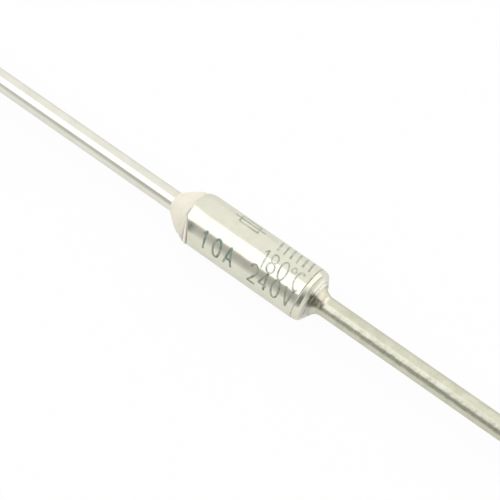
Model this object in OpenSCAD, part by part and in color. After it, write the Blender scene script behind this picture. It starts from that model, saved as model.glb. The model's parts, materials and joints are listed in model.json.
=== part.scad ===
// Axial thermal fuse: a sealed pellet switch in a metal case with a lead at each end, in millimetres.
// The axis lies along X, with the closed end towards +X, and the origin is at the middle of the case.

/* [Metal case] */
// Outside diameter
case_d = 4; // [3.6:0.1:5.2]
// Length from the rim to the seat of the collar
case_l = 10.6; // [9:0.1:16]
// Wall round the bore
case_wall = 0.4; // [0.35:0.05:0.55]
// Wall round the ceramic bush, thinner than the wall round the bore
mouth_wall = 0.3; // [0.2:0.02:0.32]
// Wall of the closed end at the edge of the bore
end_wall = 0.5; // [0.4:0.05:0.8]
// Radius of the rim's nose
rim_r = 0.25; // [0.2:0.01:0.3]
// Reach of the rim over the bush
lip_reach = 0.5; // [0.4:0.02:0.6]
// Inside radius of the curled rim
curl_r = 0.2; // [0.1:0.02:0.26]
// Radius of the soft shoulder behind the rim
shoulder_r = 1.5; // [1.2:0.1:2.4]
// Length of the rim and its shoulder
shoulder_l = 0.85; // [0.7:0.05:0.95]
// Length of the tapered band beyond the crease
band_l = 0.51; // [0.4:0.01:0.65]
// Taper of that band, in degrees
band_taper = 10; // [4:1:16]
// Slope of the conical end, in degrees from the axis
end_slope = 70; // [62:1:80]
// Radius of the edge between the band and the conical end
edge_r = 0.3; // [0.2:0.02:0.4]
// Radius in the inner corner of the closed end
corner_r = 0.3; // [0.15:0.05:0.4]
// Depth of the rolled crease
crease_depth = 0.05; // [0.02:0.01:0.1]
// Width of the rolled crease
crease_w = 0.14; // [0.08:0.02:0.3]

/* [Leads] */
// Diameter of both wires
lead_d = 1.5; // [1.2:0.05:1.8]
// Overall length from tip to tip
overall_l = 75; // [45:1:110]
// Diameter of the flared collar on the closed end
collar_d = 2.76; // [2.4:0.02:3]
// Slope of the collar, in degrees from the axis
flare_slope = 50; // [40:1:58]
// Radius at which the collar runs out along the wire
flare_r = 0.8; // [0.5:0.05:0.9]
// Diameter of the shanks in the closed end and in the bush
shank_d = 1; // [0.7:0.05:1.1]
// Diameter of the peened head in the closed end
peen_d = 1.6; // [1.3:0.05:2]
// Depth of the peened head
peen_h = 0.3; // [0.15:0.05:0.4]
// Chamfer at the cut ends of the wires
tip_chamfer = 0.1; // [0.05:0.05:0.3]

/* [Contact end of the isolated lead] */
// Diameter of the contact head
head_d = 1.3; // [1.15:0.05:1.6]
// Length of the contact head beyond the bush
head_l = 1.2; // [0.9:0.05:1.6]
// Edge radius of the contact head
head_edge_r = 0.15; // [0.05:0.05:0.3]
// Width across the two staked ears
ear_w = 2.2; // [1.6:0.1:2.6]
// Thickness of the ears
ear_t = 0.5; // [0.3:0.05:0.8]
// Length of the ears along the axis
ear_l = 0.6; // [0.3:0.05:0.8]

/* [Sealing resin] */
// Length of the cone outside the rim
resin_l = 1.7; // [1.3:0.05:2.5]
// Turn of the rim's nose that the resin covers, in degrees
resin_turn = 54; // [35:1:60]
// Length of wire held in the tip of the cone
wire_grip = 0.3; // [0.2:0.05:0.5]

/* [Ceramic bush] */
// Length of the bush
bush_l = 2.6; // [1.8:0.1:3.2]

/* [Star contact] */
// Thickness of the sheet
star_t = 0.12; // [0.08:0.01:0.2]
// Depth of the skirt of fingers
skirt_l = 0.8; // [0.5:0.05:1.2]
// Inside radius of the bend
bend_r = 0.15; // [0.05:0.05:0.25]
// Number of fingers
fingers = 8; // [5:1:10]
// Width of the slots between the fingers
slot_w = 0.3; // [0.15:0.05:0.4]
// Length of the slots in from the outer edge
slot_l = 0.55; // [0.3:0.05:0.8]

/* [Springs] */
// Wire diameter of the trip spring
trip_wire = 0.2; // [0.12:0.02:0.26]
// Least pitch of the trip spring's open turns
trip_pitch = 0.26; // [0.2:0.02:0.5]
// Spread of the trip spring from the star contact to the bush
trip_spread = 0.3; // [0:0.05:0.45]
// Wire diameter of the barrel spring
barrel_wire = 0.3; // [0.2:0.02:0.4]
// Least pitch of the barrel spring's open turns
barrel_pitch = 0.42; // [0.35:0.01:0.7]
// Length of the barrel spring as fitted
barrel_l = 2.3; // [1.8:0.1:3.2]
// Bulge of the barrel spring's middle over its ends
barrel_bulge = 0.2; // [0:0.05:0.4]

/* [Discs] */
// Thickness of both discs
disc_t = 0.2; // [0.12:0.02:0.4]

/* [Fits] */
// Gap between pieces that slide into each other
fit_gap = 0.02; // [0.01:0.01:0.06]
// Gap round the springs
spring_gap = 0.2; // [0.1:0.05:0.3]

/* [Hidden] */
$fn = 64;

// Facets of the springs
ring_steps = 24;
wire_sides = 8;
// Pitch of a spring's closed end turns, as a share of its wire
closed_pitch = 1.1;
// Points on the resin's outline
cone_steps = 12;
// Control points of the resin's outline, as shares of its width and length
cone_root = [0.32, 0.31];
cone_brow = [0.90, 0.63];
// Depth under the wire's surface at which the resin's outline starts
cone_sink = 0.05;
// Overrun of the cuts
over = 1;

// Radii
case_r = case_d / 2;
bore_r = case_r - case_wall;
mouth_r = case_r - mouth_wall;
lip_r = case_r - lip_reach;
lead_r = lead_d / 2;
collar_r = collar_d / 2;
shank_r = shank_d / 2;
peen_r = peen_d / 2;
head_r = head_d / 2;
star_r = bore_r - fit_gap;
star_bend_r = bend_r + star_t;
contact_disc_r = star_r - star_bend_r - fit_gap;
pellet_r = bore_r - 2 * fit_gap;

// Places along X, from the resin's tip to the far end
tip_x = overall_l / 2;
rim_x = -case_l / 2;
seat_x = case_l / 2;
cone_x = rim_x - resin_l;
curl_x = rim_x + mouth_wall;
shoulder_x = rim_x + shoulder_l;
bush_x = curl_x + fit_gap;
bush_end_x = bush_x + bush_l;
star_x = bush_end_x + head_l;
contact_disc_x = star_x + star_t;
barrel_x = contact_disc_x + disc_t;
pellet_disc_x = barrel_x + barrel_l;
pellet_x = pellet_disc_x + disc_t;
edge_corner_r = case_r - band_l * tan(band_taper);
edge_corner_x = seat_x - (edge_corner_r - collar_r) / tan(end_slope);
crease_x = edge_corner_x - band_l;
bore_end_x = seat_x - (bore_r - collar_r) / tan(end_slope) - end_wall;

// The rim's nose touches the shoulder's arc from inside
nose_x = rim_x + rim_r;
nose_reach = sqrt(pow(shoulder_r - rim_r, 2) - pow(shoulder_x - nose_x, 2));
nose_r = case_r - shoulder_r + nose_reach;
nose_end_x = shoulder_x - (shoulder_x - nose_x) * shoulder_r / (shoulder_r - rim_r);
resin_edge = [nose_r + rim_r * sin(resin_turn), nose_x - rim_r * cos(resin_turn)];

// The collar falls at its slope, then runs out along the wire
flare_from_r = lead_r + flare_r * (1 - cos(flare_slope));
flare_x = seat_x + (collar_r - flare_from_r) / tan(flare_slope);
flare_end_x = flare_x + flare_r * sin(flare_slope);

// The rounded edge touches the band and the conical end
edge_run = edge_r * tan((end_slope - band_taper) / 2);
edge_from = [edge_corner_r + edge_run * sin(band_taper), edge_corner_x - edge_run * cos(band_taper)];
edge_to = [edge_corner_r - edge_run * sin(end_slope), edge_corner_x + edge_run * cos(end_slope)];
edge_centre = edge_from - edge_r * [cos(band_taper), sin(band_taper)];

function bezier(p, t) =
    pow(1 - t, 3) * p[0] + 3 * t * pow(1 - t, 2) * p[1] + 3 * t * t * (1 - t) * p[2] + pow(t, 3) * p[3];

// Open turns that a spring of this length has between its closed end turns
function open_turns(length, wire, pitch) =
    max(1, floor((length - 2 * fit_gap - wire * (1 + 2 * closed_pitch)) / pitch));

// Height of a spring's wire after a number of turns, with a closed turn at each end
function coil_rise(turn, turns, length, wire) =
    let (
        closed = wire * closed_pitch,
        open = (length - 2 * fit_gap - wire - 2 * closed) / (turns - 2)
    )
    wire / 2 + fit_gap + closed * min(turn, 1) + open * max(0, min(turn - 1, turns - 2))
        + closed * max(0, turn - turns + 1);

// Revolves a section drawn as [radius, place along X]
module turned() {
    rotate([0, 90, 0]) rotate_extrude() children();
}

module bar(r, from_x, to_x) {
    translate([0, from_x]) square([r, to_x - from_x]);
}

// Bar whose far corner is rounded
module round_end_bar(r, from_x, to_x, edge) {
    bar(r, from_x, to_x - edge);
    bar(r - edge, from_x, to_x);
    translate([r - edge, to_x - edge]) circle(edge);
}

// Bar whose near corner is rounded
module round_start_bar(r, from_x, to_x, edge) {
    bar(r, from_x + edge, to_x);
    bar(r - edge, from_x, to_x);
    translate([r - edge, from_x + edge]) circle(edge);
}

// Outside of the case, filled
module case_outline() {
    bar(case_r, shoulder_x, crease_x);
    // Shoulder and rim
    intersection() {
        translate([case_r - shoulder_r, shoulder_x]) circle(shoulder_r);
        bar(case_r, nose_end_x, shoulder_x);
    }
    translate([nose_r, nose_x]) circle(rim_r);
    bar(nose_r, rim_x, shoulder_x);
    // Band and conical end
    polygon([
        [0, crease_x], [case_r, crease_x], edge_from, edge_to, [collar_r, seat_x], [0, seat_x]
    ]);
    translate(edge_centre) circle(edge_r);
}

module case_section() {
    difference() {
        case_outline();
        // Mouth for the bush, under the curled rim
        bar(lip_r, rim_x - over, bush_x);
        round_start_bar(mouth_r, curl_x, bush_end_x, curl_r);
        // Bore
        round_end_bar(bore_r, bush_end_x - fit_gap, bore_end_x, corner_r);
        // Hole for the shank, with a countersink for the peened head
        bar(shank_r + fit_gap, bore_end_x - over, seat_x + over);
        polygon([
            [0, bore_end_x - over], [peen_r + fit_gap, bore_end_x - over], [peen_r + fit_gap, bore_end_x],
            [shank_r + fit_gap, bore_end_x + peen_h], [0, bore_end_x + peen_h]
        ]);
        // Crease
        polygon([
            [case_r, crease_x - crease_w / 2], [case_r - crease_depth, crease_x],
            [case_r, crease_x + crease_w / 2], [case_r + over, crease_x]
        ]);
    }
}

module metal_case() {
    color("gainsboro") turned() case_section();
}

module case_lead() {
    color("silver") turned() {
        // Wire with its chamfered tip
        polygon([
            [0, seat_x], [lead_r, seat_x], [lead_r, tip_x - tip_chamfer], [lead_r - tip_chamfer, tip_x],
            [0, tip_x]
        ]);
        // Flared collar
        polygon([[0, seat_x], [collar_r, seat_x], [flare_from_r, flare_x], [0, flare_x]]);
        difference() {
            bar(flare_from_r, flare_x, flare_end_x);
            translate([lead_r + flare_r, flare_end_x]) circle(flare_r);
        }
        // Shank and peened head
        bar(shank_r, bore_end_x + fit_gap, seat_x);
        polygon([
            [0, bore_end_x + fit_gap], [peen_r, bore_end_x + fit_gap],
            [shank_r, bore_end_x + peen_h], [0, bore_end_x + peen_h]
        ]);
    }
}

module isolated_lead() {
    color("silver") {
        turned() {
            // Wire with its chamfered tip
            polygon([
                [0, -tip_x], [lead_r - tip_chamfer, -tip_x], [lead_r, -tip_x + tip_chamfer],
                [lead_r, cone_x + wire_grip], [0, cone_x + wire_grip]
            ]);
            bar(shank_r, cone_x, bush_end_x);
            round_end_bar(head_r, bush_end_x, star_x, head_edge_r);
        }
        // Staked ears
        intersection() {
            turned() bar(ear_w / 2, bush_x - ear_l, bush_x);
            translate([bush_x - ear_l, -ear_t / 2, -ear_w]) cube([ear_l, ear_t, 2 * ear_w]);
        }
    }
}

module sealing_resin() {
    cone_start = [lead_r - cone_sink, cone_x];
    cone_size = resin_edge - cone_start;
    cone = [
        cone_start,
        cone_start + [cone_size[0] * cone_root[0], cone_size[1] * cone_root[1]],
        cone_start + [cone_size[0] * cone_brow[0], cone_size[1] * cone_brow[1]],
        resin_edge
    ];
    color("cornsilk") difference() {
        turned() difference() {
            polygon([
                for (i = [0:cone_steps]) bezier(cone, i / cone_steps),
                [lip_r, resin_edge[1]], [lip_r, bush_x], [0, bush_x], [0, cone_x]
            ]);
            case_section();
        }
        isolated_lead();
    }
}

module ceramic_bush() {
    color("white") turned() difference() {
        round_start_bar(mouth_r - fit_gap, bush_x, bush_end_x, curl_r - fit_gap);
        bar(shank_r + fit_gap, bush_x - over, bush_end_x + over);
    }
}

// Cup with rounded outer corner, open towards +X
module star_cup(r, from_x, bend) {
    round_start_bar(r, from_x, star_x + skirt_l, bend);
}

module star_contact() {
    slot_from_r = star_r - slot_l;
    color("whitesmoke") difference() {
        turned() difference() {
            star_cup(star_r, star_x, star_bend_r);
            star_cup(star_r - star_t, star_x + star_t, bend_r);
        }
        for (i = [0:fingers - 1]) rotate([i * 360 / fingers, 0, 0]) {
            translate([star_x - over, -slot_w / 2, slot_from_r]) cube([skirt_l + 2 * over, slot_w, case_r]);
            translate([star_x - over, 0, slot_from_r]) rotate([0, 90, 0]) cylinder(skirt_l + over, d = slot_w);
        }
    }
}

// Sweeps a round wire along a coil from from_x, with its mean radius going by the share of its length
module coil(from_x, length, wire, pitch, end_r, start_spread, bulge) {
    turns = open_turns(length, wire, pitch) + 2;
    rings = turns * ring_steps;
    points = [
        for (i = [0:rings]) let (
            turn = i / ring_steps,
            share = i / rings,
            mean_r = end_r + start_spread * (1 - share) + bulge * sin(180 * share),
            x = from_x + coil_rise(turn, turns, length, wire)
        )
        for (k = [0:wire_sides - 1]) let (
            side = 360 * k / wire_sides,
            r = mean_r + wire / 2 * cos(side)
        )
        [x + wire / 2 * sin(side), r * cos(360 * turn), r * sin(360 * turn)]
    ];
    sides = [
        for (i = [0:rings - 1]) for (k = [0:wire_sides - 1]) let (
            near = i * wire_sides + k,
            near_next = i * wire_sides + (k + 1) % wire_sides,
            far = near + wire_sides,
            far_next = near_next + wire_sides
        )
        each [[near, near_next, far_next], [near, far_next, far]]
    ];
    caps = [
        [for (k = [wire_sides - 1:-1:0]) k],
        [for (k = [0:wire_sides - 1]) rings * wire_sides + k]
    ];
    polyhedron(points, concat(sides, caps));
}

module trip_spring() {
    trip_r = head_r + trip_wire / 2 + spring_gap / 2;
    color("slategray") coil(bush_end_x, head_l, trip_wire, trip_pitch, trip_r, trip_spread, 0);
}

module contact_disc() {
    color("goldenrod") turned() bar(contact_disc_r, contact_disc_x, barrel_x);
}

module barrel_spring() {
    barrel_end_r = bore_r - spring_gap - barrel_wire / 2 - barrel_bulge;
    color("slategray") coil(barrel_x, barrel_l, barrel_wire, barrel_pitch, barrel_end_r, 0, barrel_bulge);
}

module pellet_disc() {
    color("goldenrod") turned() bar(pellet_r, pellet_disc_x, pellet_x);
}

module thermal_pellet() {
    color("moccasin") turned() polygon([
        [0, pellet_x], [pellet_r, pellet_x], [pellet_r, bore_end_x - corner_r],
        [pellet_r - corner_r, bore_end_x], [0, bore_end_x]
    ]);
}

metal_case();
case_lead();
isolated_lead();
sealing_resin();
ceramic_bush();
trip_spring();
star_contact();
contact_disc();
barrel_spring();
pellet_disc();
thermal_pellet();
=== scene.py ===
"""Looks of the axial thermal fuse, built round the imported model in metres."""

import json
import math

import bmesh
import bpy
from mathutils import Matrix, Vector


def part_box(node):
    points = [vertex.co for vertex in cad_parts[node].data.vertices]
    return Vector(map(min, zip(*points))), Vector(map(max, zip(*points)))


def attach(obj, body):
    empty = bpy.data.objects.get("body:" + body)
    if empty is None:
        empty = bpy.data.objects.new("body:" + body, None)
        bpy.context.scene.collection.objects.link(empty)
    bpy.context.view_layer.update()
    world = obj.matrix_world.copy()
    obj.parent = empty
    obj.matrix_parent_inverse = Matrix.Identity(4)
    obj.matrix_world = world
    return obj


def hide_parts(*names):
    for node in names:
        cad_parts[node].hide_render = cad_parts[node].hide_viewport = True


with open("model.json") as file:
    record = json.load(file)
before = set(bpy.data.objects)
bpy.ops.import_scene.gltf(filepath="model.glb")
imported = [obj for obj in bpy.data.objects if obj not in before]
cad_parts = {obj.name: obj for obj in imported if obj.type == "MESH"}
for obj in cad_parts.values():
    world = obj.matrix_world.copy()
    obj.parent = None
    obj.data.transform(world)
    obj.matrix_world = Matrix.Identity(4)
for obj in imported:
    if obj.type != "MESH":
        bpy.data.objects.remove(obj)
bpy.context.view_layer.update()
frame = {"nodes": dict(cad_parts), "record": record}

MM = 0.001
MICRON = 1e-6
mounts = {m["name"]: m for m in frame["record"]["mounts"]}

# Places along the axis and radii, from the frame
rim_x, seat_x = (corner.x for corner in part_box("metal_case"))
case_r = mounts["case_body"]["dims"]["r_mm"] * MM
lead_r = mounts["case_wire"]["dims"]["r_mm"] * MM
tip_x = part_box("case_lead")[1].x
cone_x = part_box("sealing_resin")[0].x
bush_x, bush_end_x = (corner.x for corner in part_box("ceramic_bush"))
star_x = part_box("star_contact")[0].x
barrel_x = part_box("contact_disc")[1].x
barrel_end_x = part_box("pellet_disc")[0].x
bore_end_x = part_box("thermal_pellet")[1].x

# Sizes of the metal case, as in the solids, but with a finer crease and a rounder edge behind it
CASE_WALL = 0.4 * MM
MOUTH_WALL = 0.3 * MM
RIM_R = 0.25 * MM
LIP_REACH = 0.5 * MM
CURL_R = 0.2 * MM
SHOULDER_R = 1.5 * MM
SHOULDER_L = 0.85 * MM
BAND_L = 0.51 * MM
BAND_TAPER = math.radians(10)
END_SLOPE = math.radians(70)
EDGE_R = 0.4 * MM
CORNER_R = 0.3 * MM
CREASE_DEPTH = 0.03 * MM
CREASE_W = 0.1 * MM
# Points beside the crease's middle, as shares of its width: its edge, and one that keeps the wall straight
CREASE_SIDES = (0.5, 0.6)
# Low rounded ring on each side of the joint between the closed end and the collar
BEAD_H = 0.05 * MM
BEAD_W = 0.3 * MM

# Sizes of the leads
COLLAR_R = 1.38 * MM
FLARE_SLOPE = math.radians(50)
FLARE_R = 0.8 * MM
SHANK_R = 0.5 * MM
PEEN_R = 0.8 * MM
PEEN_H = 0.3 * MM
TIP_CHAMFER = 0.1 * MM
HEAD_R = 0.65 * MM
HEAD_EDGE_R = 0.15 * MM
WIRE_GRIP = 0.3 * MM
EAR_W = 2.2 * MM
EAR_T = 0.5 * MM
EAR_L = 0.6 * MM

# Sizes of the resin
RESIN_TURN = math.radians(54)
CONE_SINK = 0.05 * MM
CONE_ROOT = (0.32, 0.31)
CONE_BROW = (0.90, 0.63)
# Skirt of resin that ran over the rim on one side, and the painted shade along its edge
SKIRT_REACH = 0.78 * MM
SKIRT_H = 0.07 * MM
SKIRT_SIDE = math.radians(172)
SKIRT_SPREAD = math.radians(55)
SEAM_W = 0.1 * MM
# How the skirt narrows away from its middle, and its share of painted light past its ends and on the far
# side
SKIRT_LEAST = 0.001
SKIRT_TAPER = 0.8
SKIRT_NEAR_TONE = 0.7
SKIRT_FAR_TONE = 0.2

# Sizes of the springs
FIT_GAP = 0.02 * MM
TRIP_WIRE = 0.2 * MM
TRIP_TURNS = 3
TRIP_R = 0.85 * MM
TRIP_SPREAD = 0.3 * MM
BARREL_WIRE = 0.3 * MM
BARREL_TURNS = 5
BARREL_R = 1.05 * MM
BARREL_BULGE = 0.2 * MM
CLOSED_PITCH = 1.1

# Fineness of the meshes
CASE_SEGMENTS = 192
JOINT_SEGMENTS = 128
WIRE_SEGMENTS = 96
EAR_STEPS = 12
COIL_STEPS = 48
COIL_SIDES = 14
STROKE_STEP = 0.03 * MM
WELD = 0.1 * MICRON
SHARP_EDGE = math.radians(30)
# Unevenness of the flare and of the resin, as (height, size), and of the ink's strokes
FLARE_WOBBLE = (0.16 * MM, 0.36 * MM)
RESIN_WOBBLE = (0.12 * MM, 0.9 * MM)
BLOT_SIZE = 0.4 * MM

# Places that follow from the sizes
QUARTER = math.pi / 2
lip_r = case_r - LIP_REACH
mouth_r = case_r - MOUTH_WALL
bore_r = case_r - CASE_WALL
curl_x = rim_x + MOUTH_WALL
shoulder_x = rim_x + SHOULDER_L
nose_x = rim_x + RIM_R
# Turn at which the rim's nose touches the shoulder's arc
nose_turn = math.acos((SHOULDER_L - RIM_R) / (SHOULDER_R - RIM_R))
nose_r = case_r - SHOULDER_R + (SHOULDER_R - RIM_R) * math.sin(nose_turn)
edge_corner_r = case_r - BAND_L * math.tan(BAND_TAPER)
edge_corner_x = seat_x - (edge_corner_r - COLLAR_R) / math.tan(END_SLOPE)
crease_x = edge_corner_x - BAND_L
edge_run = EDGE_R * math.tan((END_SLOPE - BAND_TAPER) / 2)
edge_x = edge_corner_x - edge_run * math.cos(BAND_TAPER) - EDGE_R * math.sin(BAND_TAPER)
edge_centre_r = edge_corner_r + edge_run * math.sin(BAND_TAPER) - EDGE_R * math.cos(BAND_TAPER)
flare_from_r = lead_r + FLARE_R * (1 - math.cos(FLARE_SLOPE))
flare_x = seat_x + (COLLAR_R - flare_from_r) / math.tan(FLARE_SLOPE)
flare_end_x = flare_x + FLARE_R * math.sin(FLARE_SLOPE)
collar_x = seat_x + BEAD_W * math.cos(FLARE_SLOPE)

# The camera looks down on the fuse as the photograph does
CAMERA_AZIMUTH = math.radians(37.2)
CAMERA_ELEVATION = math.radians(66.4)
CAMERA_DISTANCE = 109.5 * MM
CAMERA_LENS = 114.3
SENSOR = 36.0
IMAGE_SIZE = 500
# Place of the middle of the metal case in the image, in pixels
CASE_PIXEL = (253.9, 256.3)


# Node helpers

def add_node(tree, kind, inputs=None, **settings):
    """Adds a node. An input is a value, or an output socket to link from."""
    node = tree.nodes.new(kind)
    for name, value in settings.items():
        setattr(node, name, value)
    for name, value in (inputs or {}).items():
        socket = node.inputs[name]
        if isinstance(value, bpy.types.NodeSocket):
            tree.links.new(value, socket)
        else:
            socket.default_value = value
    return node


def calc(tree, operation, a, b=0.0):
    """A maths node's result."""
    return add_node(tree, "ShaderNodeMath", {0: a, 1: b}, operation=operation).outputs[0]


def new_geometry_tree(name, sockets):
    """An empty Geometry Nodes tree with these named inputs, and its input node."""
    tree = bpy.data.node_groups.new(name, "GeometryNodeTree")
    tree.interface.new_socket("Geometry", in_out="INPUT", socket_type="NodeSocketGeometry")
    for socket_name, socket_type in sockets:
        tree.interface.new_socket(socket_name, in_out="INPUT", socket_type="NodeSocket" + socket_type)
    tree.interface.new_socket("Geometry", in_out="OUTPUT", socket_type="NodeSocketGeometry")
    return tree, tree.nodes.new("NodeGroupInput").outputs


def close_geometry_tree(tree, geometry, material):
    """Ends a tree in smooth shading, Realize Instances and Set Material."""
    smooth = add_node(tree, "GeometryNodeSetShadeSmooth", {"Geometry": geometry})
    real = add_node(tree, "GeometryNodeRealizeInstances", {"Geometry": smooth.outputs[0]})
    finish = add_node(tree, "GeometryNodeSetMaterial", {"Geometry": real.outputs[0], "Material": material})
    out = tree.nodes.new("NodeGroupOutput")
    tree.links.new(finish.outputs[0], out.inputs[0])


def grown(name, source_mesh, tree, values):
    """Runs a tree on a mesh and returns the result as a plain mesh object."""
    source = bpy.data.objects.new(name + "_source", source_mesh)
    bpy.context.scene.collection.objects.link(source)
    modifier = source.modifiers.new("grow", "NODES")
    modifier.node_group = tree
    identifiers = {s.name: s.identifier for s in tree.interface.items_tree if s.in_out == "INPUT"}
    for socket_name, value in values.items():
        modifier[identifiers[socket_name]] = value
    depsgraph = bpy.context.evaluated_depsgraph_get()
    mesh = bpy.data.meshes.new_from_object(source.evaluated_get(depsgraph), depsgraph=depsgraph)
    bpy.data.objects.remove(source)
    turn_outwards(mesh)
    mesh.set_sharp_from_angle(angle=SHARP_EDGE)
    piece = bpy.data.objects.new(name, mesh)
    bpy.context.scene.collection.objects.link(piece)
    return piece


def turn_outwards(mesh):
    """Points all faces of a closed mesh outwards."""
    shape = bmesh.new()
    shape.from_mesh(mesh)
    bmesh.ops.recalc_face_normals(shape, faces=shape.faces)
    shape.to_mesh(mesh)
    shape.free()


def outline_mesh(name, points, give=None):
    """A line of (place along X, radius) points as a mesh, with how far each may follow a wobble."""
    mesh = bpy.data.meshes.new(name)
    edges = [(i, i + 1) for i in range(len(points) - 1)]
    mesh.from_pydata([(x, r, 0.0) for x, r in points], edges, [])
    attribute = mesh.attributes.new("give", "FLOAT", "POINT")
    attribute.data.foreach_set("value", give or [0.0] * len(points))
    return mesh


# Geometry trees

def read_points(tree, outline, value, step, kind):
    """A value of the outline's points, read at this step along it."""
    settings = {"Geometry": outline, "Value": value, "Index": step}
    return add_node(tree, "GeometryNodeSampleIndex", settings, data_type=kind).outputs[0]


def read_attribute(tree, outline, name, step):
    """A named number of the outline's points, read at this step along it."""
    named = add_node(tree, "GeometryNodeInputNamedAttribute", {"Name": name}, data_type="FLOAT")
    return read_points(tree, outline, named.outputs[0], step, "FLOAT")


def spun_grid(tree, outline, segments):
    """A grid of the outline's points by the segments, with each point's step, angle and outline point."""
    count = add_node(tree, "GeometryNodeAttributeDomainSize", {"Geometry": outline}).outputs["Point Count"]
    around = calc(tree, "ADD", segments, 1.0)
    grid = add_node(tree, "GeometryNodeMeshGrid", {"Vertices X": count, "Vertices Y": around}).outputs[0]
    index = add_node(tree, "GeometryNodeInputIndex").outputs[0]
    step = calc(tree, "FLOOR", calc(tree, "DIVIDE", index, around))
    turn = calc(tree, "MODULO", index, around)
    angle = calc(tree, "MULTIPLY", calc(tree, "DIVIDE", turn, segments), math.tau)
    place = add_node(tree, "GeometryNodeInputPosition").outputs[0]
    point = read_points(tree, outline, place, step, "FLOAT_VECTOR")
    return grid, step, angle, add_node(tree, "ShaderNodeSeparateXYZ", {0: point}).outputs


def about_axis(tree, x, radius, angle):
    """The place at this angle about X."""
    y = calc(tree, "MULTIPLY", radius, calc(tree, "COSINE", angle))
    z = calc(tree, "MULTIPLY", radius, calc(tree, "SINE", angle))
    return add_node(tree, "ShaderNodeCombineXYZ", {0: x, 1: y, 2: z}).outputs[0]


def close_spun_grid(tree, grid, place, material):
    """Moves a grid to its places, joins its seam and poles, and ends the tree."""
    moved = add_node(tree, "GeometryNodeSetPosition", {"Geometry": grid, "Position": place}).outputs[0]
    joined = add_node(tree, "GeometryNodeMergeByDistance", {"Geometry": moved, "Distance": WELD}).outputs[0]
    close_geometry_tree(tree, joined, material)


def make_turning_tree():
    """Revolves an outline of (place along X, radius) points about X."""
    tree, given = new_geometry_tree("turned_piece", [
        ("Segments", "Int"), ("Wobble", "Float"), ("Wobble size", "Float"), ("Material", "Material"),
    ])
    outline = given["Geometry"]
    grid, step, angle, point = spun_grid(tree, outline, given["Segments"])
    give = read_attribute(tree, outline, "give", step)
    true_place = about_axis(tree, point[0], point[1], angle)
    fineness = calc(tree, "DIVIDE", 1.0, given["Wobble size"])
    scaled = add_node(tree, "ShaderNodeVectorMath", {0: true_place, 3: fineness}, operation="SCALE")
    settings = {"Vector": scaled.outputs[0], "Scale": 1.0, "Detail": 2.0}
    lumps = add_node(tree, "ShaderNodeTexNoise", settings).outputs[0]
    swing = calc(tree, "MULTIPLY", calc(tree, "SUBTRACT", lumps, 0.5), given["Wobble"])
    radius = calc(tree, "ADD", point[1], calc(tree, "MULTIPLY", swing, give))
    close_spun_grid(tree, grid, about_axis(tree, point[0], radius, angle), given["Material"])
    return tree


def make_skirt_tree():
    """Lays a thin closed skirt on the shoulder's arc. It is widest on one side.

    Each point of the section is (share of the reach, share of the seam, height); its mark is its painted
    light.
    """
    tree, given = new_geometry_tree("resin_skirt", [
        ("Segments", "Int"), ("Arc x", "Float"), ("Arc r", "Float"), ("Arc radius", "Float"),
        ("Arc start", "Float"), ("Arc length", "Float"), ("Reach", "Float"), ("Seam", "Float"),
        ("Height", "Float"), ("Side", "Float"), ("Spread", "Float"), ("Material", "Material"),
    ])
    section = given["Geometry"]
    grid, step, angle, (share, seam, height) = spun_grid(tree, section, given["Segments"])
    # One in the skirt's middle, and next to nothing past its ends
    facing = calc(tree, "COSINE", calc(tree, "SUBTRACT", angle, given["Side"]))
    end = calc(tree, "COSINE", given["Spread"])
    side = calc(tree, "DIVIDE", calc(tree, "SUBTRACT", facing, end), calc(tree, "SUBTRACT", 1.0, end))
    side = calc(tree, "MAXIMUM", side, SKIRT_LEAST)
    # Length from the nose, over the arc and then along the cylinder
    reach = calc(tree, "MULTIPLY", given["Reach"], calc(tree, "POWER", side, SKIRT_TAPER))
    length = calc(tree, "MULTIPLY", reach, share)
    length = calc(tree, "ADD", length, calc(tree, "MULTIPLY", given["Seam"], seam))
    bent = calc(tree, "DIVIDE", calc(tree, "MINIMUM", length, given["Arc length"]), given["Arc radius"])
    bend = calc(tree, "SUBTRACT", given["Arc start"], bent)
    straight = calc(tree, "MAXIMUM", calc(tree, "SUBTRACT", length, given["Arc length"]), 0.0)
    lift = calc(tree, "MULTIPLY", calc(tree, "MULTIPLY", given["Height"], height), calc(tree, "SQRT", side))
    lifted = calc(tree, "ADD", given["Arc radius"], lift)
    x = calc(tree, "ADD", given["Arc x"], calc(tree, "MULTIPLY", lifted, calc(tree, "COSINE", bend)))
    x = calc(tree, "ADD", x, straight)
    radius = calc(tree, "ADD", given["Arc r"], calc(tree, "MULTIPLY", lifted, calc(tree, "SINE", bend)))
    # Painted highlight and shade, strongest in the middle and faint on the far side
    mark = read_attribute(tree, section, "mark", step)
    near = calc(tree, "MINIMUM", calc(tree, "DIVIDE", facing, end), 1.0)
    near = calc(tree, "MULTIPLY", near, SKIRT_NEAR_TONE)
    strength = calc(tree, "MAXIMUM", calc(tree, "MAXIMUM", side, near), SKIRT_FAR_TONE)
    kept = add_node(
        tree, "GeometryNodeStoreNamedAttribute",
        {"Geometry": grid, "Name": "mark", "Value": calc(tree, "MULTIPLY", mark, strength)},
        data_type="FLOAT", domain="POINT",
    ).outputs[0]
    close_spun_grid(tree, kept, about_axis(tree, x, radius, angle), given["Material"])
    return tree


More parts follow.
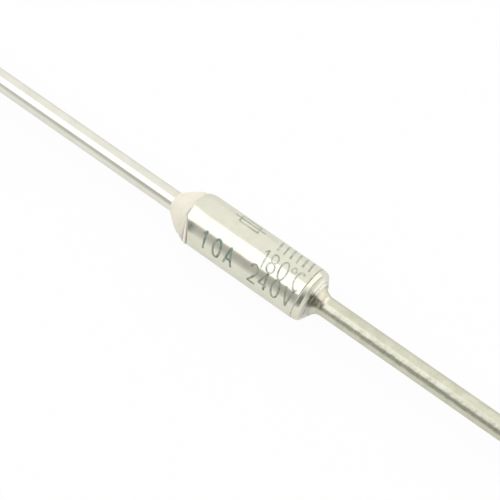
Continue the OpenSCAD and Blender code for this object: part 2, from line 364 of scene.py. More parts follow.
def make_coil_tree():
    """Sweeps a round wire along a coil about X, with a closed turn at each end."""
    tree, given = new_geometry_tree("coil_spring", [
        ("Start", "Float"), ("Length", "Float"), ("Wire", "Float"), ("Turns", "Float"),
        ("End radius", "Float"), ("Spread", "Float"), ("Bulge", "Float"), ("Steps", "Int"),
        ("Material", "Material"),
    ])
    steps = calc(tree, "MULTIPLY", given["Turns"], given["Steps"])
    line = add_node(tree, "GeometryNodeMeshLine", {"Count": calc(tree, "ADD", steps, 1.0)})
    index = add_node(tree, "GeometryNodeInputIndex").outputs[0]
    turn = calc(tree, "DIVIDE", index, given["Steps"])
    share = calc(tree, "DIVIDE", index, steps)
    closed = calc(tree, "MULTIPLY", given["Wire"], CLOSED_PITCH)
    taken = calc(tree, "ADD", given["Wire"], 2 * FIT_GAP)
    room = calc(tree, "SUBTRACT", given["Length"], calc(tree, "MULTIPLY", closed, 2.0))
    room = calc(tree, "SUBTRACT", room, taken)
    open_turns = calc(tree, "SUBTRACT", given["Turns"], 2.0)
    pitch = calc(tree, "DIVIDE", room, open_turns)
    first = calc(tree, "MULTIPLY", closed, calc(tree, "MINIMUM", turn, 1.0))
    middle_turn = calc(tree, "MINIMUM", calc(tree, "SUBTRACT", turn, 1.0), open_turns)
    middle_turn = calc(tree, "MAXIMUM", middle_turn, 0.0)
    last_turn = calc(tree, "SUBTRACT", calc(tree, "ADD", turn, 1.0), given["Turns"])
    last_turn = calc(tree, "MAXIMUM", last_turn, 0.0)
    rise = calc(tree, "ADD", first, calc(tree, "MULTIPLY", pitch, middle_turn))
    rise = calc(tree, "ADD", rise, calc(tree, "MULTIPLY", closed, last_turn))
    rise = calc(tree, "ADD", rise, calc(tree, "MULTIPLY", taken, 0.5))
    x = calc(tree, "ADD", given["Start"], rise)
    swell = calc(tree, "SINE", calc(tree, "MULTIPLY", share, math.pi))
    swell = calc(tree, "MULTIPLY", given["Bulge"], swell)
    spread = calc(tree, "MULTIPLY", given["Spread"], calc(tree, "SUBTRACT", 1.0, share))
    radius = calc(tree, "ADD", calc(tree, "ADD", given["End radius"], swell), spread)
    place = about_axis(tree, x, radius, calc(tree, "MULTIPLY", turn, math.tau))
    path = add_node(tree, "GeometryNodeSetPosition", {"Geometry": line.outputs[0], "Position": place})
    curve = add_node(tree, "GeometryNodeMeshToCurve", {0: path.outputs[0]})
    section = add_node(
        tree, "GeometryNodeCurvePrimitiveCircle",
        {"Resolution": COIL_SIDES, "Radius": calc(tree, "MULTIPLY", given["Wire"], 0.5)},
    )
    wire = add_node(tree, "GeometryNodeCurveToMesh", {
        "Curve": curve.outputs[0], "Profile Curve": section.outputs[0], "Fill Caps": True,
    })
    close_geometry_tree(tree, wire.outputs[0], given["Material"])
    return tree


def make_print_tree():
    """Lays flat pen strokes as thin ribbons of ink round a cylinder about X."""
    tree, given = new_geometry_tree("printed_strokes", [
        ("Radius", "Float"), ("Row angle", "Float"), ("Stroke", "Float"), ("Ink height", "Float"),
        ("Material", "Material"),
    ])
    curve = add_node(tree, "GeometryNodeMeshToCurve", {0: given["Geometry"]})
    settings = {"Curve": curve.outputs[0], "Length": STROKE_STEP}
    fine = add_node(tree, "GeometryNodeResampleCurve", settings, mode="LENGTH")
    upright = add_node(tree, "GeometryNodeSetCurveNormal", {"Curve": fine.outputs[0]}, mode="Z_UP")
    section = add_node(
        tree, "GeometryNodeCurvePrimitiveQuadrilateral",
        {"Width": given["Stroke"], "Height": given["Ink height"]},
    )
    place = add_node(tree, "GeometryNodeInputPosition").outputs[0]
    blots = {"Vector": place, "Scale": 1 / BLOT_SIZE, "Detail": 1.0}
    blot = add_node(tree, "ShaderNodeTexNoise", blots).outputs[0]
    ribbon = add_node(tree, "GeometryNodeCurveToMesh", {
        "Curve": upright.outputs[0], "Profile Curve": section.outputs[0], "Fill Caps": True,
        "Scale": calc(tree, "ADD", blot, 0.5),
    })
    flat = add_node(tree, "ShaderNodeSeparateXYZ", {0: place}).outputs
    angle = calc(tree, "ADD", given["Row angle"], calc(tree, "DIVIDE", flat[1], given["Radius"]))
    radius = calc(tree, "ADD", given["Radius"], flat[2])
    wrapped = add_node(tree, "ShaderNodeCombineXYZ", {
        0: flat[0],
        1: calc(tree, "MULTIPLY", calc(tree, "MULTIPLY", radius, calc(tree, "COSINE", angle)), -1.0),
        2: calc(tree, "MULTIPLY", radius, calc(tree, "SINE", angle)),
    }).outputs[0]
    laid = add_node(tree, "GeometryNodeSetPosition", {"Geometry": ribbon.outputs[0], "Position": wrapped})
    close_geometry_tree(tree, laid.outputs[0], given["Material"])
    return tree


# Materials

# Range that most of a noise's values lie in
NOISE_RANGE = (0.3, 0.7)
# Sizes of the patterns in the finishes
PATCH_SIZE = 0.9 * MM
LINE_SIZE = 0.05 * MM
LINE_DEPTH = 0.4 * MICRON
BLOTCH_SIZE = 0.3 * MM
SIDE_PATCH_GRAIN = 0.25 * MM
MOTTLE_SIZE = 0.8 * MM
# Share of a side patch's spread that is at full strength
SIDE_PATCH_CORE = 1 / 3


def new_material(name):
    """A node material and its tree, shader node and object coordinates."""
    material = bpy.data.materials.new(name)
    material.use_nodes = True
    tree = material.node_tree
    shader = tree.nodes["Principled BSDF"]
    place = tree.nodes.new("ShaderNodeTexCoord").outputs["Object"]
    return material, tree, shader, place


def noise(tree, place, size, stretch=(1, 1, 1), detail=3.0, roughness=0.55):
    """Noise with features of this size in metres, drawn out by stretch along each axis."""
    scale = tuple(1 / (size * s) for s in stretch)
    mapped = add_node(tree, "ShaderNodeMapping", {"Vector": place, "Scale": scale})
    settings = {"Vector": mapped.outputs[0], "Scale": 1.0, "Detail": detail, "Roughness": roughness}
    return add_node(tree, "ShaderNodeTexNoise", settings).outputs["Fac"]


def ramp(tree, value, low, high):
    """Maps a noise value to the range from low to high."""
    first, last = NOISE_RANGE
    settings = {"Value": value, "From Min": first, "From Max": last, "To Min": low, "To Max": high}
    return add_node(tree, "ShaderNodeMapRange", settings).outputs[0]


def fade(tree, value, none, full, kind="SMOOTHSTEP"):
    """Nothing where the value is at none or before, and one where it is at full or past it."""
    settings = {"Value": value, "From Min": none, "From Max": full}
    return add_node(tree, "ShaderNodeMapRange", settings, interpolation_type=kind).outputs[0]


def blend(tree, share, one, other):
    """Mixes two colours, each a value or a socket."""
    node = add_node(tree, "ShaderNodeMix", {0: share}, data_type="RGBA")
    for socket, colour in ((node.inputs[6], one), (node.inputs[7], other)):
        if isinstance(colour, bpy.types.NodeSocket):
            tree.links.new(colour, socket)
        else:
            socket.default_value = (*colour, 1.0)
    return node.outputs[2]


def bump(tree, height, depth, normal=None):
    """A bump of this depth in metres, on top of another."""
    inputs = {"Strength": 1.0, "Distance": depth, "Height": height}
    if normal is not None:
        inputs["Normal"] = normal
    return add_node(tree, "ShaderNodeBump", inputs).outputs[0]


def feed(tree, shader, **sockets):
    """Links or sets the shader's sockets, named with _ for spaces."""
    for name, value in sockets.items():
        socket = shader.inputs[name.replace("_", " ")]
        if isinstance(value, bpy.types.NodeSocket):
            tree.links.new(value, socket)
        else:
            socket.default_value = value


def ring_mark(tree, place, x, width):
    """A line round the axis at x: one in its middle, and nothing past its width."""
    offset = add_node(tree, "ShaderNodeSeparateXYZ", {0: place}).outputs[0]
    offset = calc(tree, "ABSOLUTE", calc(tree, "SUBTRACT", offset, x))
    return fade(tree, offset, none=width, full=0.0)


def side_mask(tree, place, x, width, angle, spread):
    """A patch round one place on the side: one in its middle, and nothing past its width and spread."""
    kind = "ShaderNodeVectorMath"
    across = add_node(tree, kind, {0: place, 1: (0, 1, 1)}, operation="MULTIPLY").outputs[0]
    across = add_node(tree, kind, {0: across}, operation="NORMALIZE").outputs[0]
    middle = (0.0, -math.cos(angle), math.sin(angle))
    facing = add_node(tree, kind, {0: across, 1: middle}, operation="DOT_PRODUCT").outputs["Value"]
    patch = fade(tree, facing, none=math.cos(spread), full=math.cos(spread * SIDE_PATCH_CORE))
    patch = calc(tree, "MULTIPLY", patch, ring_mark(tree, place, x, width))
    uneven = ramp(tree, noise(tree, place, SIDE_PATCH_GRAIN), low=0.75, high=1.2)
    return calc(tree, "MULTIPLY", patch, uneven)


def metal(name, bright, dull, roughness, lines, dents, side_patches=(), rings=()):
    """Plated metal: patchy tone, fine lines drawn along an axis and soft dents as (depth, size).

    Side patches, of tone and of painted light, lie on one side as (x, width, angle, spread, colour). Rings
    are lines round the axis as (x, width, share, colour).
    """
    material, tree, shader, place = new_material(name)
    patches = noise(tree, place, PATCH_SIZE)
    fine = noise(tree, place, LINE_SIZE, stretch=lines, detail=2.0)
    dent_depth, dent_size = dents
    soft = noise(tree, place, dent_size, detail=1.0)
    normal = bump(tree, soft, dent_depth)
    normal = bump(tree, fine, LINE_DEPTH, normal)
    tone = blend(tree, ramp(tree, patches, 0.0, 1.0), bright, dull)
    blotches = noise(tree, place, BLOTCH_SIZE)
    for x, width, share, colour in rings:
        uneven = ramp(tree, blotches, low=0.4 * share, high=1.3 * share)
        mark = calc(tree, "MULTIPLY", ring_mark(tree, place, x, width), uneven)
        tone = blend(tree, mark, tone, colour)
    for x, width, angle, spread, colour in side_patches:
        tone = blend(tree, side_mask(tree, place, x, width, angle, spread), tone, colour)
    feed(
        tree, shader, Metallic=1.0, Base_Color=tone, Normal=normal, Specular_Tint=(0.9, 0.9, 0.88, 1.0),
        Roughness=ramp(tree, fine, low=0.8 * roughness, high=1.3 * roughness),
    )
    return material


def mineral(name, pale, deep, roughness, grain, depth):
    """Matte resin, ceramic or pressed powder with a mottled tone."""
    material, tree, shader, place = new_material(name)
    mottle = noise(tree, place, MOTTLE_SIZE)
    fine = noise(tree, place, grain)
    feed(
        tree, shader, Base_Color=blend(tree, ramp(tree, mottle, 0.0, 1.0), pale, deep),
        Roughness=ramp(tree, fine, low=0.85 * roughness, high=1.15 * roughness),
        Normal=bump(tree, fine, depth),
    )
    return material


# How far a metal's fine lines are drawn out
ALONG = (12, 1, 1)
AROUND = (1, 6, 6)
# Tones of the metal and of what lies on it
PLATING = (0.77, 0.765, 0.64)
DULL_PLATING = (0.71, 0.70, 0.58)
BEAD_HIGHLIGHT = (0.99, 0.98, 0.88)
SOFT_SHADE = (0.5, 0.5, 0.46)
DARK_LINE_TONE = (0.16, 0.15, 0.11)
DARK_REFLECTION = (0.155, 0.153, 0.115)
TAN_WITH_HIGHLIGHT = (0.97, 0.90, 0.73)
PAINTED_DARK = (0.34, 0.33, 0.28)
WORN_INK = (0.66, 0.67, 0.56)
# Tones of the resin
RESIN = (0.82, 0.78, 0.64)
DEEP_RESIN = (0.77, 0.73, 0.59)
DEEP_SKIRT = (0.78, 0.74, 0.60)
# Painted highlight on the skirt's lip
LIP_HIGHLIGHT = (0.96, 0.90, 0.80)


def side_patch(x, width, angle, spread, colour):
    """A side patch at x, with its angles in degrees."""
    return x, width, math.radians(angle), math.radians(spread), colour


# Painted light on one side of the joint at the closed end, and a tan stain on the collar
# Painted dark reflection on the collar's flare and on the end beside the joint
COLLAR_DARK_REFLECTION = side_patch(seat_x + 0.22 * MM, 0.9 * MM, 59, 27, DARK_REFLECTION)
CASE_DARK_REFLECTION = side_patch(seat_x - 0.02 * MM, 0.2 * MM, 59, 27, DARK_REFLECTION)
# Painted highlights on the beads either side of the joint
CASE_BEAD_HIGHLIGHT = side_patch(seat_x - 0.07 * MM, 0.14 * MM, 95, 50, BEAD_HIGHLIGHT)
COLLAR_BEAD_HIGHLIGHT = side_patch(seat_x + 0.06 * MM, 0.16 * MM, 95, 60, BEAD_HIGHLIGHT)
# Tan stain on the top of the collar, painted paler than metal as a highlight
TAN_STAIN_AND_HIGHLIGHT = side_patch(seat_x + 0.45 * MM, 0.65 * MM, 90, 52, TAN_WITH_HIGHLIGHT)
# Painted shade on the lower front of the end and of the collar
END_SIDE_SHADE = side_patch(seat_x - 0.03 * MM, 0.22 * MM, 18, 34, SOFT_SHADE)
COLLAR_SIDE_SHADE = side_patch(seat_x + 0.08 * MM, 0.2 * MM, 22, 34, SOFT_SHADE)
# Painted dark reflection on the shoulder, and painted shade in the corner where the resin starts
SHOULDER_DARK_REFLECTION = side_patch(rim_x + 0.7 * MM, 0.7 * MM, 46, 14, PAINTED_DARK)
RIM_SEAM_SHADE = side_patch(rim_x + 0.15 * MM, 0.2 * MM, 62, 28, PAINTED_DARK)
# Rings: painted shade in the crease, a dark line behind the collar's ring, and the ring's brighter skin
CREASE_SHADE = (crease_x, 0.08 * MM, 0.6, DARK_LINE_TONE)
COLLAR_LINE = (collar_x, 0.07 * MM, 0.4, DARK_LINE_TONE)
COLLAR_RING = (seat_x + 0.06 * MM, 0.16 * MM, 0.8, PLATING)
# Soft dents as (depth, size)
CASE_DENTS = (24 * MICRON, 1.6 * MM)
BRIGHT_DENTS = (2 * MICRON, 1.6 * MM)
DULL_DENTS = (22 * MICRON, 0.5 * MM)
INNER_DENTS = (1 * MICRON, 1.6 * MM)

# The case's plating carries painted highlights, painted shade and painted dark reflections
case_plating = metal(
    "case_plating", PLATING, DULL_PLATING, 0.15, AROUND, CASE_DENTS,
    side_patches=(CASE_BEAD_HIGHLIGHT, CASE_DARK_REFLECTION, END_SIDE_SHADE, SHOULDER_DARK_REFLECTION, RIM_SEAM_SHADE), rings=(CREASE_SHADE,),
)
bright_tin = metal("bright_tin", (0.80, 0.79, 0.70), (0.74, 0.73, 0.63), 0.14, ALONG, BRIGHT_DENTS)
# The collar's tin carries a painted highlight, painted shade, a painted dark reflection and a tan stain
dull_tin = metal(
    "dull_tin", (0.66, 0.66, 0.535), (0.565, 0.56, 0.435), 0.25, ALONG, DULL_DENTS,
    side_patches=(COLLAR_BEAD_HIGHLIGHT, COLLAR_SIDE_SHADE, TAN_STAIN_AND_HIGHLIGHT, COLLAR_DARK_REFLECTION), rings=(COLLAR_RING, COLLAR_LINE),
)
spring_wire = metal("spring_wire", (0.55, 0.55, 0.57), (0.45, 0.45, 0.47), 0.3, ALONG, INNER_DENTS)
contact_silver = metal("contact_silver", (0.92, 0.91, 0.87), (0.84, 0.82, 0.76), 0.2, AROUND, INNER_DENTS)
disc_brass = metal("disc_brass", (0.80, 0.64, 0.36), (0.66, 0.50, 0.26), 0.3, AROUND, INNER_DENTS)
cream_resin = mineral("cream_resin", RESIN, DEEP_RESIN, 0.55, 0.12 * MM, 8 * MICRON)
white_ceramic = mineral(
    "white_ceramic", (0.88, 0.87, 0.83), (0.80, 0.79, 0.75), 0.7, 0.06 * MM, 4 * MICRON,
)
pellet_compound = mineral(
    "pellet_compound", (0.84, 0.73, 0.55), (0.74, 0.62, 0.44), 0.8, 0.08 * MM, 6 * MICRON,
)


def make_stamp_ink(name, fresh, aged, least, most):
    """Thin ink of two tones that lets the plating show where it is worn, from the least to the most."""
    material, tree, shader, place = new_material(name)
    worn = ramp(tree, noise(tree, place, 0.35 * MM, detail=4.0), least, most)
    tone = blend(tree, ramp(tree, noise(tree, place, 0.6 * MM), 0.0, 1.0), fresh, aged)
    feed(
        tree, shader, Base_Color=blend(tree, worn, tone, WORN_INK), Metallic=worn,
        Roughness=ramp(tree, noise(tree, place, 0.1 * MM), low=0.25, high=0.4),
    )
    return material


teal_ink = make_stamp_ink("teal_ink", (0.01, 0.17, 0.12), (0.09, 0.11, 0.06), 0.05, 0.7)
olive_ink = make_stamp_ink("olive_ink", (0.07, 0.12, 0.07), (0.12, 0.11, 0.06), 0.12, 0.75)
faded_ink = make_stamp_ink("faded_ink", (0.08, 0.15, 0.10), (0.13, 0.13, 0.07), 0.32, 0.9)


def make_skirt_resin():
    """Resin with a painted highlight on its lip and painted shade where it meets the metal, by its mark
    from -1 to 1.
    """
    material, tree, shader, place = new_material("skirt_resin")
    mark = add_node(tree, "ShaderNodeAttribute", attribute_name="mark").outputs["Fac"]
    mottle = noise(tree, place, BLOTCH_SIZE)
    tone = blend(tree, ramp(tree, mottle, 0.0, 1.0), RESIN, DEEP_SKIRT)
    # Painted highlight where the mark is below zero, and painted shade where it is above zero
    pale = calc(tree, "MAXIMUM", calc(tree, "MULTIPLY", mark, -1.0), 0.0)
    tone = blend(tree, pale, tone, LIP_HIGHLIGHT)
    dark = calc(tree, "MULTIPLY", calc(tree, "MAXIMUM", mark, 0.0), ramp(tree, mottle, 1.0, 0.7))
    feed(tree, shader, Base_Color=blend(tree, dark, tone, DARK_LINE_TONE), Roughness=ramp(tree, mottle, 0.4, 0.55))
    return material


skirt_resin = make_skirt_resin()


# Outlines as (place along X, radius) points

def arc(centre_x, centre_r, radius, start, end, steps):
    """Points of an arc. Angle 0 points along +X, and a quarter turn points outwards."""
    angles = [start + (end - start) * i / steps for i in range(steps + 1)]
    return [(centre_x + radius * math.cos(a), centre_r + radius * math.sin(a)) for a in angles]


def bezier(p, steps):
    """Points of a curve with four control points."""
    found = []
    for i in range(steps + 1):
        t = i / steps
        weights = ((1 - t) ** 3, 3 * t * (1 - t) ** 2, 3 * t * t * (1 - t), t ** 3)
        found.append(tuple(sum(w * q[axis] for w, q in zip(weights, p)) for axis in (0, 1)))
    return found


def bead(x, r, slope, way):
    """A low rounded ring on a wall that slopes inwards, before (x, r) if way is -1 and after it if 1."""
    steps = 16
    points = []
    for i in range(steps + 1):
        along = way * BEAD_W * i / steps
        lift = BEAD_H * math.sin(math.pi * i / steps) ** 2
        across = (math.cos(slope), -math.sin(slope))
        points.append((x + along * across[0] - lift * across[1], r + along * across[1] + lift * across[0]))
    return points[::way]


def case_outline():
    """The wall of the metal case, out and back in, ending where it starts."""
    hole_r = SHANK_R + FIT_GAP
    sink_r = PEEN_R + FIT_GAP
    outside = [(rim_x, lip_r)] + arc(nose_x, nose_r, RIM_R, math.pi, math.pi - nose_turn, 12)
    outside += arc(shoulder_x, case_r - SHOULDER_R, SHOULDER_R, math.pi - nose_turn, QUARTER, 12)[1:]
    beside = [share * CREASE_W for share in CREASE_SIDES]
    outside += [(crease_x - offset, case_r) for offset in reversed(beside)]
    outside += [(crease_x, case_r - CREASE_DEPTH)]
    outside += [(crease_x + offset, case_r - offset * math.tan(BAND_TAPER)) for offset in beside]
    outside += arc(edge_x, edge_centre_r, EDGE_R, QUARTER - BAND_TAPER, QUARTER - END_SLOPE, 10)
    outside += bead(seat_x, COLLAR_R, END_SLOPE, -1)
    inside = [(seat_x, hole_r), (bore_end_x + PEEN_H, hole_r), (bore_end_x, sink_r)]
    inside += arc(bore_end_x - CORNER_R, bore_r - CORNER_R, CORNER_R, 0, QUARTER, 8)
    inside += [(bush_end_x, bore_r), (bush_end_x, mouth_r)]
    inside += arc(curl_x + CURL_R, mouth_r - CURL_R, CURL_R, QUARTER, math.pi, 8)
    inside += [(curl_x, lip_r)]
    return outside + inside + outside[:1]


def case_lead_outline():
    """The lead of the closed end, from its peened head to its tip, and how uneven its flare is."""
    head_x = bore_end_x + FIT_GAP
    shank = [(head_x, 0), (head_x, PEEN_R), (bore_end_x + PEEN_H, SHANK_R), (seat_x, SHANK_R)]
    collar = bead(seat_x, COLLAR_R, FLARE_SLOPE, 1)
    flare = arc(flare_end_x, lead_r + FLARE_R, FLARE_R, 3 * QUARTER - FLARE_SLOPE, 3 * QUARTER, 14)
    tip = [(tip_x - TIP_CHAMFER, lead_r), (tip_x, lead_r - TIP_CHAMFER), (tip_x, 0)]
    give = [0.0] * len(shank) + [1.0] * len(collar)
    give += [1 - i / (len(flare) - 1) for i in range(len(flare))] + [0.0] * len(tip)
    return shank + collar + flare + tip, give


def isolated_lead_outline():
    """The lead of the resin end, from its tip to its contact head."""
    step_x = cone_x + WIRE_GRIP
    points = [(-tip_x, 0), (-tip_x, lead_r - TIP_CHAMFER), (-tip_x + TIP_CHAMFER, lead_r)]
    points += [(step_x, lead_r), (step_x, SHANK_R), (bush_end_x, SHANK_R), (bush_end_x, HEAD_R)]
    points += arc(star_x - HEAD_EDGE_R, HEAD_R - HEAD_EDGE_R, HEAD_EDGE_R, QUARTER, 0, 6)
    return points + [(star_x, 0)]


def resin_outline():
    """The resin's skin from the wire to the rim, and back along what it fills."""
    start = (cone_x, lead_r - CONE_SINK)
    end = (nose_x - RIM_R * math.cos(RESIN_TURN), nose_r + RIM_R * math.sin(RESIN_TURN))
    size = (end[0] - start[0], end[1] - start[1])
    root = (start[0] + size[0] * CONE_ROOT[1], start[1] + size[1] * CONE_ROOT[0])
    brow = (start[0] + size[0] * CONE_BROW[1], start[1] + size[1] * CONE_BROW[0])
    skin = bezier((start, root, brow, end), 24)
    back = arc(nose_x, nose_r, RIM_R, math.pi - RESIN_TURN, math.pi, 6)[1:]
    back += [(rim_x, lip_r), (bush_x, lip_r), (bush_x, SHANK_R)]
    back += [(cone_x + WIRE_GRIP, SHANK_R), (cone_x + WIRE_GRIP, lead_r)]
    give = [math.sin(math.pi * i / len(skin)) for i in range(len(skin))] + [0.0] * (len(back) + 1)
    return skin + back + skin[:1], give


# Pieces

turning_tree = make_turning_tree()
skirt_tree = make_skirt_tree()
coil_tree = make_coil_tree()
print_tree = make_print_tree()


def place_piece(piece, slot, *nodes):
    """Puts a finished piece on the fuse's one body in place of these nodes."""
    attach(piece, "root")
    if nodes:
        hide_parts(*nodes)
    return piece


def turned(name, outline, material, segments, give=None, wobble=(0.0, MM)):
    """A turned piece from its outline, uneven by this (height, size) where its points give."""
    return grown(name, outline_mesh(name, outline, give), turning_tree, {
        "Segments": segments, "Wobble": wobble[0], "Wobble size": wobble[1], "Material": material,
    })


def staked_ears():
    """The two ears that are pinched out of the lead where it rests on the bush."""
    half = math.asin(EAR_T / EAR_W)
    top = [QUARTER - half + 2 * half * i / EAR_STEPS for i in range(EAR_STEPS + 1)]
    rim = [(EAR_W / 2 * math.cos(a), EAR_W / 2 * math.sin(a)) for a in top + [a + math.pi for a in top]]
    count = len(rim)
    points = [(x, y, z) for x in (bush_x - EAR_L, bush_x) for y, z in rim]
    faces = [tuple(range(count)), tuple(range(count, 2 * count))]
    for this in range(count):
        after = (this + 1) % count
        faces.append((this, after, count + after, count + this))
    mesh = bpy.data.meshes.new("staked_ears")
    mesh.from_pydata(points, [], faces)
    turn_outwards(mesh)
    mesh.materials.append(bright_tin)
    ears = bpy.data.objects.new("staked_ears", mesh)
    bpy.context.scene.collection.objects.link(ears)
    return ears


# Section of the skirt: share of its reach, share of the seam, height, and painted highlight (-1) to shade
# (1)
SKIRT_SECTION = (
    (0.0, 0.0, 0.4, 0.0), (0.3, 0.0, 0.42, 0.12), (0.56, 0.0, 0.38, 0.2), (0.62, 0.0, 0.3, 0.65),
    (0.7, 0.0, 0.3, 0.65), (0.75, 0.0, 0.6, -0.6), (0.8, 0.0, 0.9, -1.0), (0.86, 0.0, 1.0, -1.0),
    (0.92, 0.0, 0.92, -1.0), (0.97, 0.0, 0.65, -0.6), (1.0, 0.0, 0.3, 0.7), (1.0, 0.3, 0.1, 0.9),
    (1.0, 0.7, 0.06, 0.9), (1.0, 1.0, 0.0, 0.6), (1.0, 1.0, -0.5, 0.6), (0.0, 0.0, -0.5, 0.0),
    (0.0, 0.0, 0.4, 0.0),
)


def resin_skirt():
    """Resin that ran over the rim and stopped in a soft edge on the shoulder."""
    mesh = bpy.data.meshes.new("resin_skirt")
    edges = [(i, i + 1) for i in range(len(SKIRT_SECTION) - 1)]
    mesh.from_pydata([point[:3] for point in SKIRT_SECTION], edges, [])
    mesh.attributes.new("mark", "FLOAT", "POINT").data.foreach_set("value", [p[3] for p in SKIRT_SECTION])
    return grown("resin_skirt", mesh, skirt_tree, {
        "Segments": CASE_SEGMENTS, "Arc x": shoulder_x, "Arc r": case_r - SHOULDER_R,
        "Arc radius": SHOULDER_R, "Arc start": math.pi - nose_turn,
        "Arc length": SHOULDER_R * (QUARTER - nose_turn), "Reach": SKIRT_REACH, "Seam": SEAM_W,
        "Height": SKIRT_H, "Side": SKIRT_SIDE, "Spread": SKIRT_SPREAD, "Material": skirt_resin,
    })


def coil(name, start, end, wire, turns, radius, spread, bulge):
    """A spring between two faces."""
    return grown(name, bpy.data.meshes.new(name), coil_tree, {
        "Start": start, "Length": end - start, "Wire": wire, "Turns": float(turns), "End radius": radius,
        "Spread": spread, "Bulge": bulge, "Steps": COIL_STEPS, "Material": spring_wire,
    })


case_shell = turned("case_shell", case_outline(), case_plating, CASE_SEGMENTS)
place_piece(case_shell, "plated_case", "metal_case")
joint, joint_give = case_lead_outline()
case_wire = turned("case_end_wire", joint, dull_tin, JOINT_SEGMENTS, joint_give, FLARE_WOBBLE)
place_piece(case_wire, "tinned_wire", "case_lead")
resin_wire = turned("resin_end_wire", isolated_lead_outline(), bright_tin, WIRE_SEGMENTS)
place_piece(resin_wire, "bright_wire", "isolated_lead")
place_piece(staked_ears(), "bright_wire", "isolated_lead")
skin, skin_give = resin_outline()
cone = turned("resin_cone", skin, cream_resin, JOINT_SEGMENTS, skin_give, RESIN_WOBBLE)
place_piece(cone, "cream_resin", "sealing_resin")
place_piece(resin_skirt(), "cream_resin")
trip_spring = coil(
    "star_trip_spring", bush_end_x, star_x, TRIP_WIRE, TRIP_TURNS, TRIP_R, spread=TRIP_SPREAD, bulge=0.0,
)
place_piece(trip_spring, "spring_steel", "trip_spring")
barrel_spring = coil(
    "pellet_barrel_spring", barrel_x, barrel_end_x, BARREL_WIRE, BARREL_TURNS, BARREL_R, spread=0.0,
    bulge=BARREL_BULGE,
)
place_piece(barrel_spring, "spring_steel", "barrel_spring")

# The other nodes keep their own meshes
for node_name, finish_material in (
    ("ceramic_bush", white_ceramic), ("star_contact", contact_silver), ("contact_disc", disc_brass),
    ("pellet_disc", disc_brass), ("thermal_pellet", pellet_compound),
):
    node_mesh = frame["nodes"][node_name].data
    node_mesh.materials.clear()
    node_mesh.materials.append(finish_material)


# Printed rating, as pen strokes in cells one wide and one high

def loop(x, y, wide, high, start=0, end=360, steps=20):
    """Part of an oval, by angles in degrees."""
    angles = [math.radians(start + (end - start) * i / steps) for i in range(steps + 1)]
    return [(x + wide * math.cos(a), y + high * math.sin(a)) for a in angles]


SIGNS = {
    "0": [loop(0.5, 0.5, 0.46, 0.5)],
    "1": [[(0.2, 0.78), (0.55, 1.0), (0.55, 0.0)]],
    "2": [loop(0.5, 0.72, 0.46, 0.28, 165, -38) + [(0.02, 0.0), (1.0, 0.0)]],
    "4": [[(0.74, 0.0), (0.74, 1.0), (0.0, 0.3), (1.0, 0.3)]],
    "8": [loop(0.5, 0.76, 0.38, 0.24), loop(0.5, 0.26, 0.46, 0.26)],
    "A": [[(0.0, 0.0), (0.5, 1.0), (1.0, 0.0)], [(0.18, 0.36), (0.82, 0.36)]],
    "C": [loop(0.5, 0.5, 0.48, 0.5, 55, 305)],
    "V": [[(0.0, 1.0), (0.5, 0.0), (1.0, 1.0)]],
    "deg": [loop(0.32, 0.84, 0.26, 0.14)],
    "fuse": [[(0.0, 0.5), (4.0, 0.5)], [(0.8, 0.2), (3.2, 0.2), (3.2, 0.8), (0.8, 0.8), (0.8, 0.2)]],
    "bar": [[(0.5, 0.0), (0.5, 1.0)]],
}
SIGN_W = 0.64 * MM
SIGN_H = 1.36 * MM
INK_HEIGHT = 12 * MICRON
# Lean of the print along the axis, over its height
LEAN = -0.13
# Each row: its name, angle of its middle round the case, ink, width of its strokes, and each sign with its
# start from the rim in mm
PRINT_ROWS = (
    ("lower_left", 40, teal_ink, 0.17, (("1", 1.86), ("0", 2.94), ("A", 3.96))),
    ("lower_right", 40, olive_ink, 0.15, (("2", 6.02), ("4", 6.92), ("0", 7.9), ("V", 8.9))),
    ("middle", 80, faded_ink, 0.13, (("1", 6.18), ("8", 6.84), ("0", 7.72), ("deg", 8.5), ("C", 9.0))),
    ("upper_left", 129, faded_ink, 0.15, (("fuse", 2.8),)),
    ("upper_right", 129, faded_ink, 0.15, tuple(("bar", 6.4 + 0.52 * i) for i in range(6))),
)


def stroke_mesh(name, signs):
    """A row of signs as flat lines, along X and across it."""
    points, edges = [], []
    for sign, start in signs:
        for stroke in SIGNS[sign]:
            first = len(points)
            for x, y in stroke:
                across = (y - 0.5) * SIGN_H
                points.append((rim_x + start * MM + x * SIGN_W + LEAN * across, across, 0.0))
            edges += [(k, k + 1) for k in range(first, len(points) - 1)]
    mesh = bpy.data.meshes.new(name)
    mesh.from_pydata(points, edges, [])
    return mesh


for row_name, row_angle, row_ink, row_stroke, row_signs in PRINT_ROWS:
    piece_name = "print_" + row_name
    row = grown(piece_name, stroke_mesh(piece_name, row_signs), print_tree, {
        "Radius": case_r, "Row angle": math.radians(row_angle), "Stroke": row_stroke * MM,
        "Ink height": INK_HEIGHT, "Material": row_ink,
    })
    place_piece(row, "plated_case")


# Floor, light and camera

# Share of the table's white that is its own, as seen by the camera and in the metal
SEEN_GLOW = 0.94
MIRRORED_GLOW = 0.64
TABLE_HALF = 3.0
PAPER = (0.89, 0.89, 0.89)
PALE_PAPER = (0.91, 0.91, 0.91)
PAPER_CLOUD = 40 * MM


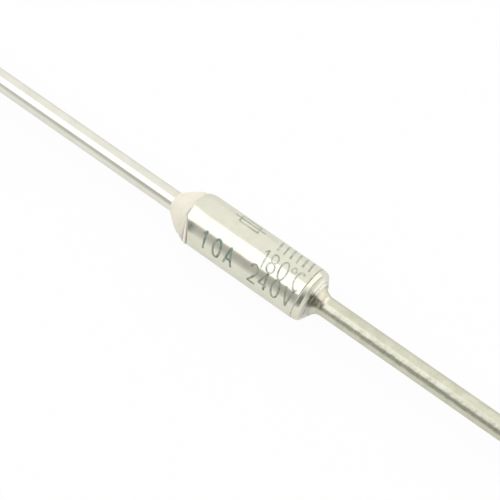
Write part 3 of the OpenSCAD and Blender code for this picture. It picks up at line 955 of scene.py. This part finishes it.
def make_floor():
    """White table top that keeps a faint shadow."""
    mesh = bpy.data.meshes.new("table_top")
    corners = [(-1, -1), (1, -1), (1, 1), (-1, 1)]
    mesh.from_pydata([(x * TABLE_HALF, y * TABLE_HALF, -case_r) for x, y in corners], [], [(0, 1, 2, 3)])
    material, tree, shader, place = new_material("white_paper")
    shade = noise(tree, place, PAPER_CLOUD)
    feed(tree, shader, Base_Color=blend(tree, shade, PAPER, PALE_PAPER), Roughness=0.9)
    path = add_node(tree, "ShaderNodeLightPath").outputs
    mirrored = calc(tree, "MAXIMUM", path["Is Glossy Ray"], path["Is Transmission Ray"])
    white = add_node(tree, "ShaderNodeEmission", {"Strength": 1.0})
    share = calc(tree, "MULTIPLY", path["Is Camera Ray"], SEEN_GLOW)
    share = calc(tree, "MAXIMUM", share, calc(tree, "MULTIPLY", mirrored, MIRRORED_GLOW))
    mixed = add_node(tree, "ShaderNodeMixShader", {0: share, 1: shader.outputs[0], 2: white.outputs[0]})
    tree.links.new(mixed.outputs[0], tree.nodes["Material Output"].inputs[0])
    mesh.materials.append(material)
    floor = bpy.data.objects.new("table_top", mesh)
    bpy.context.scene.collection.objects.link(floor)


# Brightness of the tent's cloth, its lit back, its right end with a seam and an opening, its open front
# and the soft box
TENT = (1.05, 1.05, 1.05)
LIT_BACK = (1.35, 1.35, 1.35)
RIGHT_END = (0.9, 0.9, 0.9)
END_SEAM = (0.6, 0.6, 0.6)
END_OPENING = (0.5, 0.5, 0.5)
OPEN_FRONT = (0.17, 0.17, 0.17)
SOFT_BOX = (1.55, 1.55, 1.63)


def make_world():
    """A pale light tent with a bright back, a soft box on its left and an open, dark front."""
    world = bpy.data.worlds.new("light_tent")
    world.use_nodes = True
    tree = world.node_tree
    direction = add_node(tree, "ShaderNodeTexCoord").outputs["Generated"]
    x, y, z = add_node(tree, "ShaderNodeSeparateXYZ", {0: direction}).outputs

    def part(value, none, full, kind="SMOOTHSTEP"):
        return fade(tree, value, none, full, kind)

    def both(a, b):
        return calc(tree, "MULTIPLY", a, b)

    def side(x_share, y_share, z_share, along=x):
        """How far a direction lies to one side of a plane."""
        flat = calc(tree, "ADD", both(along, x_share), both(y, y_share))
        return calc(tree, "ADD", flat, both(z, z_share))

    # The front ends in a bow, is lit from the table on both sides and stops before the right end
    bow = both(x, calc(tree, "ABSOLUTE", x))
    front = part(side(-0.45, 1.0, 0.0, along=bow), none=-0.05, full=-0.7, kind="LINEAR")
    left_glow = both(part(x, none=-0.05, full=-0.25), 0.6)
    right_glow = both(part(x, none=0.0, full=0.08), 0.5)
    table_glow = calc(tree, "MAXIMUM", left_glow, right_glow)
    table_glow = both(part(z, none=0.35, full=0.0, kind="LINEAR"), table_glow)
    front = both(front, calc(tree, "SUBTRACT", 1.0, table_glow))
    front = both(front, part(x, none=-0.95, full=0.25, kind="LINEAR"))
    front = both(front, part(x, none=0.5, full=0.3))
    # The lit back lies behind the middle
    lit_back = both(part(x, none=-0.1, full=0.05), part(side(-0.15, 1.0, 0.0), none=0.0, full=0.12))
    lit_back = both(lit_back, part(x, none=0.4, full=0.25))
    # The right end, the upright seam where it starts and the opening in its middle
    right_end = part(x, none=0.25, full=0.4)
    end_seam = both(part(x, none=0.25, full=0.35), part(x, none=0.55, full=0.45))
    end_seam = both(end_seam, part(y, none=-0.1, full=0.1))
    from_middle = calc(tree, "ABSOLUTE", calc(tree, "ADD", y, 0.15))
    end_opening = both(part(x, none=0.45, full=0.6), part(from_middle, none=0.45, full=0.05))
    # The soft box lies between two planes
    soft_box = part(side(-0.19, 1.0, 0.9), none=-0.08, full=0.1)
    soft_box = both(soft_box, part(side(-0.29, -1.0, 0.105), none=-0.03, full=0.06))
    soft_box = both(soft_box, part(x, none=0.06, full=-0.1))
    tone = TENT
    for share, colour in (
        (lit_back, LIT_BACK), (right_end, RIGHT_END), (end_opening, END_OPENING), (end_seam, END_SEAM),
        (front, OPEN_FRONT), (soft_box, SOFT_BOX),
    ):
        tone = blend(tree, share, tone, colour)
    tree.links.new(tone, tree.nodes["Background"].inputs["Color"])
    bpy.context.scene.world = world


def make_camera():
    """Camera at the photograph's viewing angle."""
    a, e = CAMERA_AZIMUTH, CAMERA_ELEVATION
    back = Vector((math.sin(a) * math.cos(e), -math.cos(a) * math.cos(e), math.sin(e)))
    right = Vector((math.cos(a), math.sin(a), 0))
    up = back.cross(right)
    pixel = CAMERA_DISTANCE * SENSOR / CAMERA_LENS / IMAGE_SIZE
    offset = [(p - IMAGE_SIZE / 2) * pixel for p in CASE_PIXEL]
    target = up * offset[1] - right * offset[0]
    camera = bpy.data.objects.new("camera", bpy.data.cameras.new("camera"))
    camera.data.lens = CAMERA_LENS
    camera.data.sensor_width = SENSOR
    camera.data.clip_start = 1 * MM
    camera.location = target + back * CAMERA_DISTANCE
    camera.rotation_mode = "QUATERNION"
    camera.rotation_quaternion = back.to_track_quat("Z", "Y")
    bpy.context.scene.collection.objects.link(camera)
    bpy.context.scene.camera = camera


make_floor()
make_world()
make_camera()
bpy.context.scene.view_settings.view_transform = "Standard"
